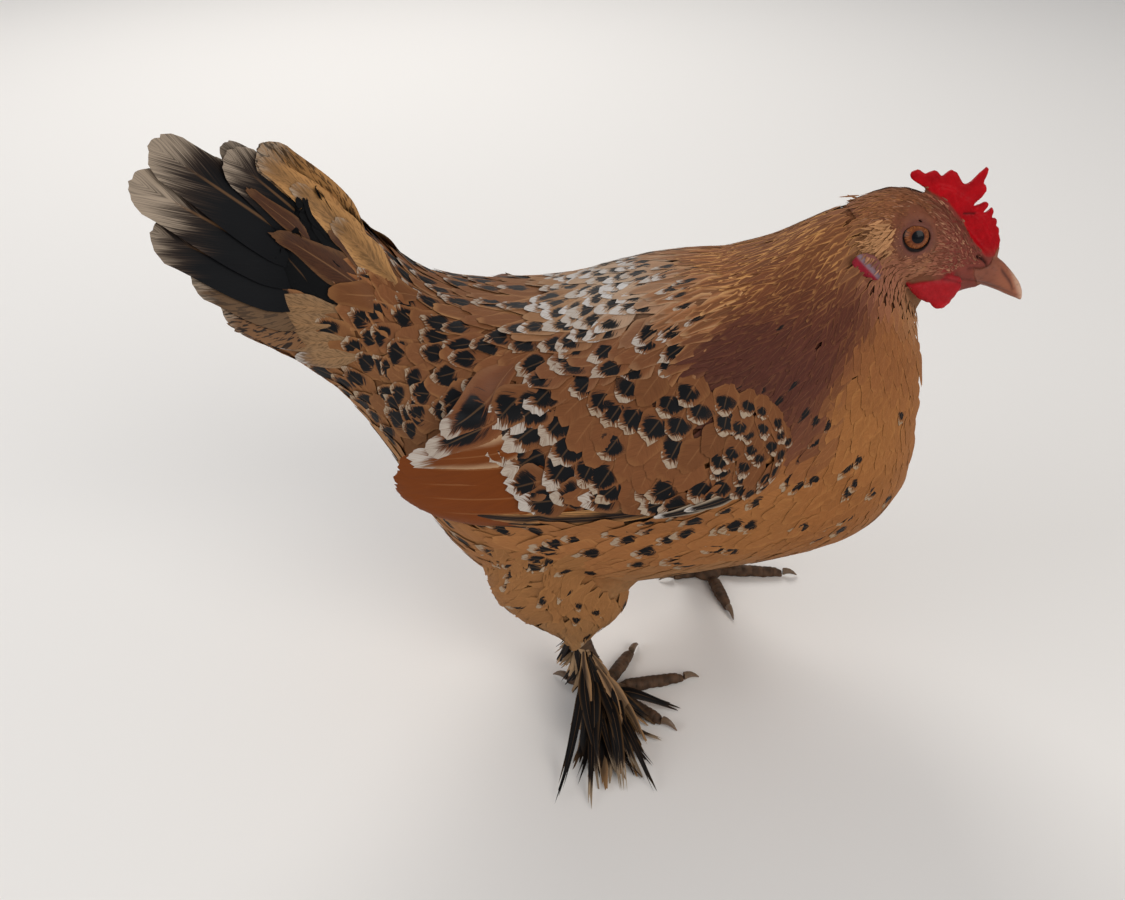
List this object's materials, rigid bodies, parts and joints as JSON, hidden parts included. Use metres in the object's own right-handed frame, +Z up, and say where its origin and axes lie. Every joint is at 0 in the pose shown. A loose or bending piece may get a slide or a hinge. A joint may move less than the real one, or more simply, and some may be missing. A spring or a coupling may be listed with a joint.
{
  "type": "standing bantam hen",
  "caption": "Life-size still model of a standing bantam hen with an orange coat spangled in black and cream, a red single comb, a raised dark tail and feathered feet.",
  "frame": {"origin": "on the floor under the middle of the whole bird's box, from beak to tail tip and across the feather boots", "axes": "+X towards the bird's head, +Y to its left side, +Z up"},
  "size_m": [0.3, 0.2, 0.2239],
  "materials": {
    "plumage": "soft overlapping feathers",
    "flight_feathers": "smooth closed vanes",
    "tail_feathers": "smooth closed vanes",
    "comb_skin": "waxy skin",
    "ear_skin": "soft folded skin",
    "face_skin": "thin skin with fine bristles",
    "beak_horn": "satin horn",
    "claw_horn": "satin horn",
    "leg_scales": "dry scales",
    "eye": "wet and glossy"
  },
  "bodies": {
    "root": {"beak_lower": "beak_horn", "beak_upper": "beak_horn", "boot_left": "tail_feathers", "boot_right": "tail_feathers", "claw_hind_left": "claw_horn", "claw_hind_right": "claw_horn", "claw_inner_left": "claw_horn", "claw_inner_right": "claw_horn", "claw_middle_left": "claw_horn", "claw_middle_right": "claw_horn", "claw_outer_left": "claw_horn", "claw_outer_right": "claw_horn", "comb": "comb_skin", "ear_lobe_left": "ear_skin", "ear_lobe_right": "ear_skin", "eye_left": "eye", "eye_right": "eye", "head": "face_skin", "neck": "plumage", "shank_left": "leg_scales", "shank_right": "leg_scales", "tail_coverts": "plumage", "tail_fan_left": "tail_feathers", "tail_fan_right": "tail_feathers", "thigh_left": "plumage", "thigh_right": "plumage", "toe_hind_left": "leg_scales", "toe_hind_right": "leg_scales", "toe_inner_left": "leg_scales", "toe_inner_right": "leg_scales", "toe_middle_left": "leg_scales", "toe_middle_right": "leg_scales", "toe_outer_left": "leg_scales", "toe_outer_right": "leg_scales", "trunk": "plumage", "wattle_left": "comb_skin", "wattle_right": "comb_skin", "wing_coverts_left": "plumage", "wing_coverts_right": "plumage", "wing_flight_left": "flight_feathers", "wing_flight_right": "flight_feathers"}
  },
  "joints": []
}
